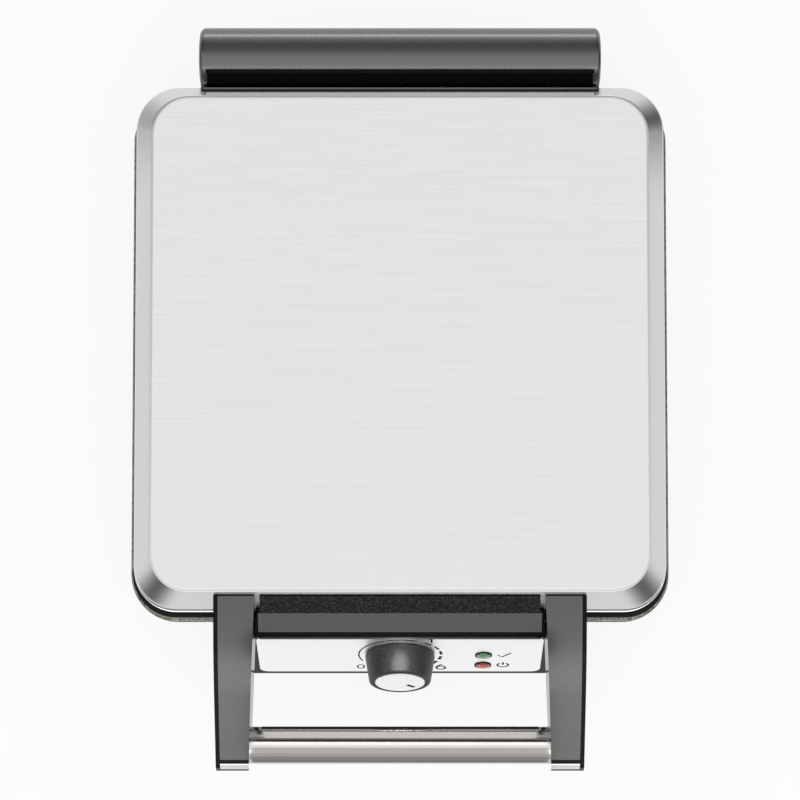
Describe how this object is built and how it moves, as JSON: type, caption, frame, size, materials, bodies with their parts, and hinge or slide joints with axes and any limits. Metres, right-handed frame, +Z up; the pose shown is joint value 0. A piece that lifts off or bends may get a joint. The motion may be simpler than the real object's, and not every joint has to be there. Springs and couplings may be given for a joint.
{
  "type": "waffle maker",
  "caption": "Square hinged waffle maker with a steel lid, deep U-shaped front handle, sloped control box with knob and lamps, and studded non-stick plates.",
  "frame": {"origin": "middle of the footprint of the closed appliance, handle and hinge cover included, on the surface that its feet stand on", "axes": "+X to the user's right along the hinge axis; +Y from the handle towards the hinge; +Z up"},
  "size_m": [0.2878, 0.398, 0.097],
  "materials": {
    "brushed_panel": "fine straight brushing across the width",
    "satin_steel": "satin polished",
    "rim_steel": "satin",
    "fascia_steel": "bright satin",
    "bar_steel": "polished",
    "bright_chrome": "polished",
    "graphite_plastic": "satin",
    "black_plastic": "fine texture",
    "gloss_black": "glossy",
    "knob_plastic": "soft touch",
    "nonstick": "dark non-stick coating",
    "frame_steel": "heat-resistant black",
    "element_steel": "oxidised",
    "reflector_steel": "bright sheet",
    "zinc_steel": "zinc plated",
    "shaft_steel": "ground",
    "bush_bronze": "sintered",
    "foot_rubber": "matt",
    "green_lens": "clear-coated",
    "red_lens": "clear-coated",
    "board_green": "solder resist",
    "cream_ceramic": "unglazed",
    "wire_red": "silicone sleeve"
  },
  "bodies": {
    "base": {"base_housing": "black_plastic", "base_rim_band": "rim_steel", "base_floor": "black_plastic", "base_inner_frame": "frame_steel", "floor_screws": "zinc_steel", "lower_waffle_plate": "nonstick", "lower_plate_screws": "zinc_steel", "lower_heating_element": "element_steel", "lower_heat_reflector": "reflector_steel", "rubber_feet": "foot_rubber", "foot_screws": "zinc_steel", "control_housing": "black_plastic", "control_fascia": "fascia_steel", "lamp_bezels": "gloss_black", "ready_lamp_lens": "green_lens", "power_lamp_lens": "red_lens", "lamp_board": "board_green", "thermostat_body": "cream_ceramic", "thermostat_bracket": "zinc_steel", "thermal_fuse": "cream_ceramic", "terminal_block": "cream_ceramic", "internal_wires": "wire_red", "cord_gland": "black_plastic", "base_hinge_brackets": "zinc_steel", "base_hinge_screws": "zinc_steel", "hinge_bushes": "bush_bronze"},
    "lid": {"lid_shell": "satin_steel", "lid_top_panel": "brushed_panel", "lid_inner_frame": "frame_steel", "lid_frame_screws": "zinc_steel", "upper_waffle_plate": "nonstick", "upper_plate_screws": "zinc_steel", "upper_heating_element": "element_steel", "upper_heat_reflector": "reflector_steel", "hinge_cover": "graphite_plastic", "hinge_cover_strip": "gloss_black", "hinge_end_cap_left": "graphite_plastic", "hinge_end_cap_right": "graphite_plastic", "lid_hinge_brackets": "zinc_steel", "lid_hinge_screws": "zinc_steel", "hinge_shaft": "shaft_steel", "handle_bracket": "black_plastic", "handle_front_trim": "graphite_plastic", "handle_screws": "zinc_steel", "handle_arm_left": "black_plastic", "handle_arm_right": "black_plastic", "arm_cover_left": "graphite_plastic", "arm_cover_right": "graphite_plastic", "arm_end_cap_left": "bright_chrome", "arm_end_cap_right": "bright_chrome", "handle_bar": "bar_steel", "handle_bar_plugs": "black_plastic"},
    "knob": {"knob_body": "knob_plastic", "knob_cap": "fascia_steel", "thermostat_spindle": "shaft_steel", "knob_spring_clip": "zinc_steel"}
  },
  "joints": [
    {"name": "lid_hinge", "type": "hinge", "parent": "base", "child": "lid", "pos_m": [0, 0.18202, 0.068], "axis": [-1, 0, 0], "range_deg": [0, 105]},
    {"name": "knob_turn", "type": "hinge", "parent": "base", "child": "knob", "pos_m": [0, -0.1385, 0.03306], "axis": [0, -0.9272, 0.3746], "range_deg": [0, 270]}
  ]
}
